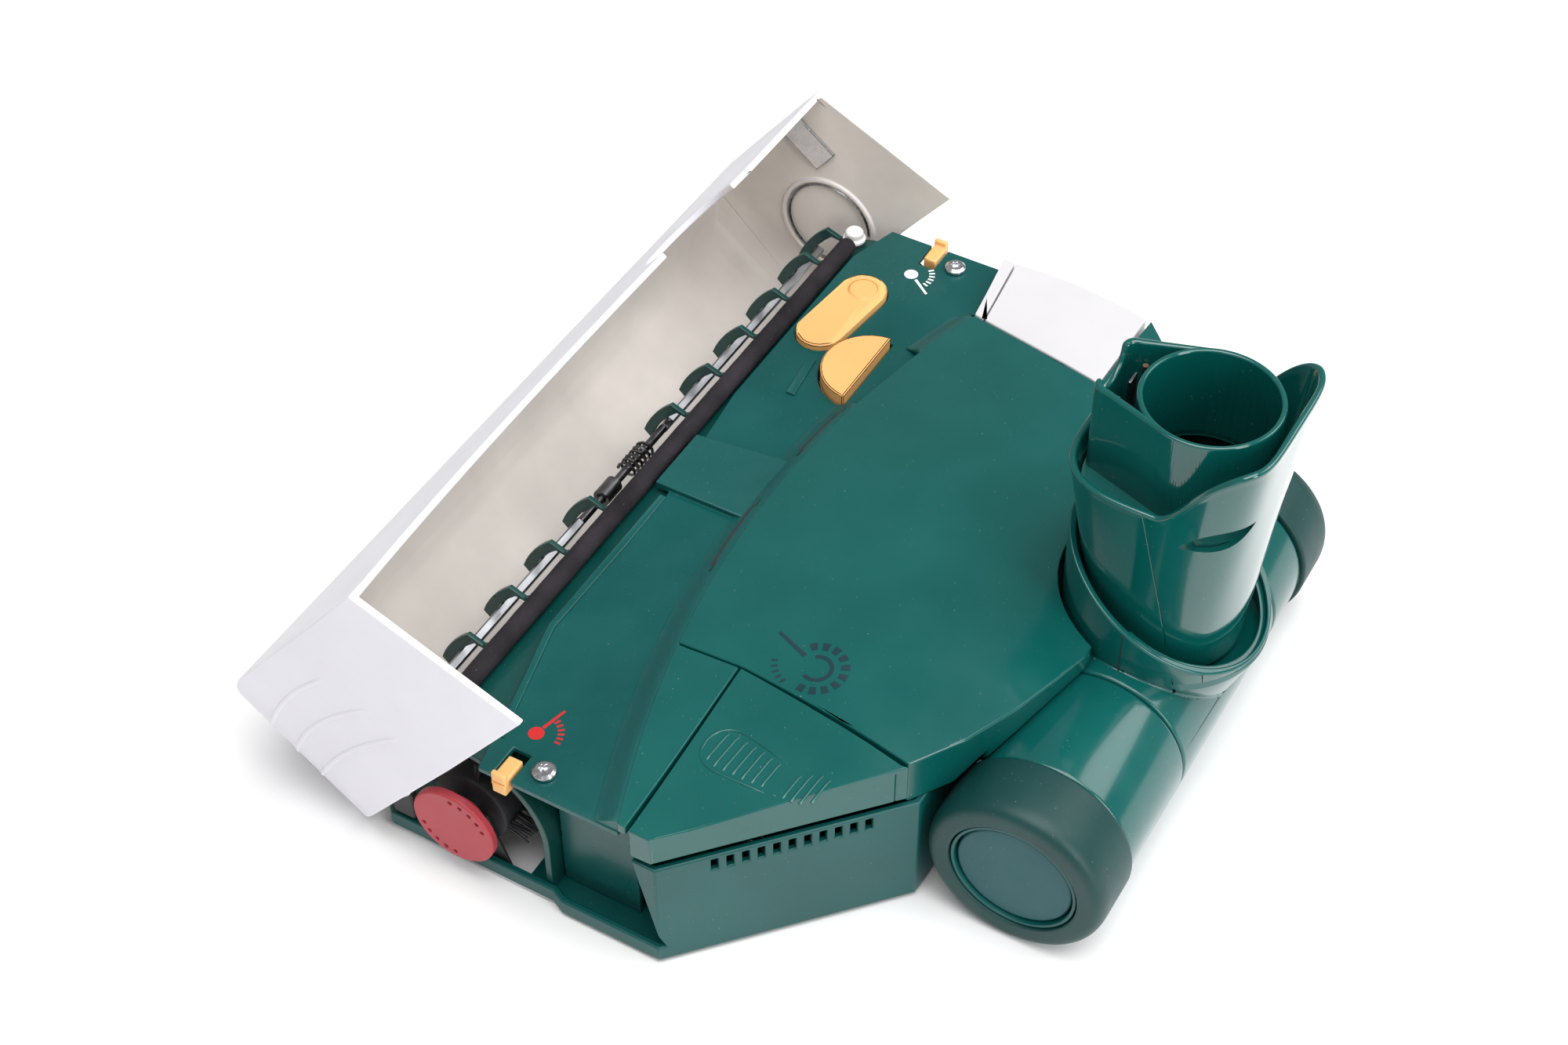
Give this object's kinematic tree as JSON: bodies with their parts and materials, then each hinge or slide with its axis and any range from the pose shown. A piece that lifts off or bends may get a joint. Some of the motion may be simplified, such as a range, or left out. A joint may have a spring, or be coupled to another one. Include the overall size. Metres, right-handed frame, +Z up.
{
  "type": "powered carpet sweeper head",
  "caption": "Low motorised carpet-brush head with spiral brushes under a swung-open bumper, two rear wheels, foot switches and a tilting, swivelling neck with a suction spigot.",
  "frame": {"origin": "on the flat underside of the steel sole plate, on the centre line of the housing, under the motor side of the brush mouth", "axes": "+X along the brush axis to the right-hand end as seen from behind, +Y forward to the bumper, +Z up"},
  "size_m": [0.318, 0.2935, 0.162],
  "materials": {
    "sole_steel": "brushed",
    "tray_green": "glossy moulded",
    "tunnel_green": "satin moulded",
    "bar_steel": "brushed",
    "rod_steel": "polished",
    "lever_steel": "satin",
    "spring_steel": "drawn wire",
    "seal_felt": "felt",
    "button_white": "satin",
    "end_block_black": "matte",
    "hinge_steel": "satin",
    "motor_can": "satin",
    "pulley_black": "satin",
    "belt_rubber": "matte",
    "bristle_black": "bristle",
    "cap_red": "satin",
    "cap_white": "satin",
    "board_green": "laminate",
    "duct_black": "satin",
    "deck_green": "satin moulded",
    "screw_steel": "zinc plated",
    "latch_orange": "satin",
    "pad_orange": "satin",
    "cover_green": "glossy moulded",
    "pedal_green": "glossy moulded",
    "pedal_cream": "satin",
    "drum_green": "glossy moulded",
    "axle_steel": "turned",
    "tyre_green": "soft rubber",
    "hub_green": "satin",
    "hub_cap_teal": "satin",
    "neck_green": "high gloss",
    "spigot_green": "satin",
    "contact_metal": "plated",
    "pin_copper": "bare",
    "seal_rubber": "matte",
    "hood_white": "glossy outside, beige inside",
    "bail_steel": "drawn wire",
    "clip_steel": "plated"
  },
  "bodies": {
    "chassis": {"sole_plate": "sole_steel", "lower_tray": "tray_green", "brush_tunnel": "tunnel_green", "guard_bar_left": "bar_steel", "guard_bar_right": "bar_steel", "sensor_rod": "rod_steel", "sensor_spring": "spring_steel", "seal_strip": "seal_felt", "strip_button": "button_white", "brush_end_block_left": "end_block_black", "brush_end_block_right": "end_block_black", "hinge_lug_left": "hinge_steel", "hinge_lug_right": "hinge_steel", "motor": "motor_can", "drive_belt": "belt_rubber", "bearing_cap_left": "cap_red", "bearing_cap_right": "cap_white", "circuit_board": "board_green", "air_duct": "duct_black", "upper_deck": "deck_green", "cover_screw_left": "screw_steel", "cover_screw_right": "screw_steel", "top_cover": "cover_green", "left_fairing": "cover_green", "right_edge_strip": "pedal_cream", "pedal_spring_left": "spring_steel", "pedal_spring_right": "spring_steel", "rear_drum_left": "drum_green", "rear_drum_right": "drum_green", "axle_left": "axle_steel", "axle_right": "axle_steel"},
    "brush": {"brush_shaft": "rod_steel", "brush_pulley": "pulley_black", "brush_roller_left": "bristle_black", "brush_roller_right": "bristle_black"},
    "motor_rotor": {"motor_pulley": "pulley_black"},
    "bumper": {"bumper_hood": "hood_white", "bail_spring": "bail_steel", "hood_clip": "clip_steel"},
    "left_switch": {"left_pedal": "pedal_green"},
    "right_switch": {"right_pedal": "pedal_cream"},
    "latch_left": {"hook_latch_left": "latch_orange"},
    "latch_right": {"hook_latch_right": "latch_orange"},
    "brush_release": {"brush_release_pad": "pad_orange"},
    "bumper_release": {"bumper_release_button": "pad_orange"},
    "sensor": {"sensor_lever": "lever_steel"},
    "wheel_left": {"tyre_left": "tyre_green", "wheel_hub_left": "hub_green", "hub_cap_left": "hub_cap_teal"},
    "wheel_right": {"tyre_right": "tyre_green", "wheel_hub_right": "hub_green", "hub_cap_right": "hub_cap_teal"},
    "yoke": {"neck_yoke": "drum_green", "neck_seal": "seal_rubber"},
    "neck": {"neck_shell": "neck_green", "suction_spigot": "spigot_green", "contact_blade_left": "contact_metal", "contact_blade_right": "contact_metal", "contact_pin": "pin_copper"}
  },
  "joints": [
    {"name": "brush_spin", "type": "hinge", "parent": "chassis", "child": "brush", "pos_m": [0, 0.0476, 0.026], "axis": [1, 0, 0], "continuous": true},
    {"name": "motor_spin", "type": "hinge", "parent": "chassis", "child": "motor_rotor", "pos_m": [0, -0.046, 0.031], "axis": [1, 0, 0], "continuous": true},
    {"name": "bumper_hinge", "type": "hinge", "parent": "chassis", "child": "bumper", "pos_m": [0, 0.088, 0.0055], "axis": [1, 0, 0], "range_deg": [0, 52]},
    {"name": "left_switch_rock", "type": "hinge", "parent": "chassis", "child": "left_switch", "pos_m": [-0.0835, -0.05, 0.06], "axis": [-0.158, -0.9874, 0], "range_deg": [0, 2.2], "stiffness_Nm_per_rad": 4, "springref_deg": -1.72},
    {"name": "right_switch_rock", "type": "hinge", "parent": "chassis", "child": "right_switch", "pos_m": [0.11, -0.034, 0.06], "axis": [0.289, 0.9573, 0], "range_deg": [0, 3], "stiffness_Nm_per_rad": 3, "springref_deg": -1.72},
    {"name": "latch_left_slide", "type": "slide", "parent": "chassis", "child": "latch_left", "axis": [1, 0, 0], "range_m": [0, 0.0022], "stiffness_N_per_m": 200, "springref_m": -0.002},
    {"name": "latch_right_slide", "type": "slide", "parent": "chassis", "child": "latch_right", "axis": [-1, 0, 0], "range_m": [0, 0.0022], "stiffness_N_per_m": 200, "springref_m": -0.002},
    {"name": "brush_release_rock", "type": "hinge", "parent": "chassis", "child": "brush_release", "pos_m": [0.085, 0.0432, 0.0616], "axis": [0.1136, 0.9935, 0], "range_deg": [0, 1.4], "stiffness_Nm_per_rad": 2, "springref_deg": -1.72},
    {"name": "bumper_release_press", "type": "slide", "parent": "chassis", "child": "bumper_release", "axis": [0, 0, -1], "range_m": [0, 0.0015], "stiffness_N_per_m": 400, "springref_m": -0.002},
    {"name": "sensor_rock", "type": "hinge", "parent": "chassis", "child": "sensor", "pos_m": [0, 0.0785, 0.04243], "axis": [1, 0, 0], "range_deg": [-12, 12], "stiffness_Nm_per_rad": 0.02},
    {"name": "wheel_left_spin", "type": "hinge", "parent": "chassis", "child": "wheel_left", "pos_m": [-0.074, -0.124, 0.032], "axis": [1, 0, 0], "continuous": true},
    {"name": "wheel_right_spin", "type": "hinge", "parent": "chassis", "child": "wheel_right", "pos_m": [0.097, -0.124, 0.032], "axis": [1, 0, 0], "continuous": true},
    {"name": "neck_tilt", "type": "hinge", "parent": "chassis", "child": "yoke", "pos_m": [0.021, -0.124, 0.032], "axis": [1, 0, 0], "range_deg": [0, 75]},
    {"name": "neck_swivel", "type": "hinge", "parent": "yoke", "child": "neck", "pos_m": [0.0225, -0.127, 0.058], "axis": [0, 0, 1], "range_deg": [-40, 40]}
  ],
  "couplings": [
    {"joint": "motor_spin", "follows": "brush_spin", "ratio": 1.8667}
  ]
}
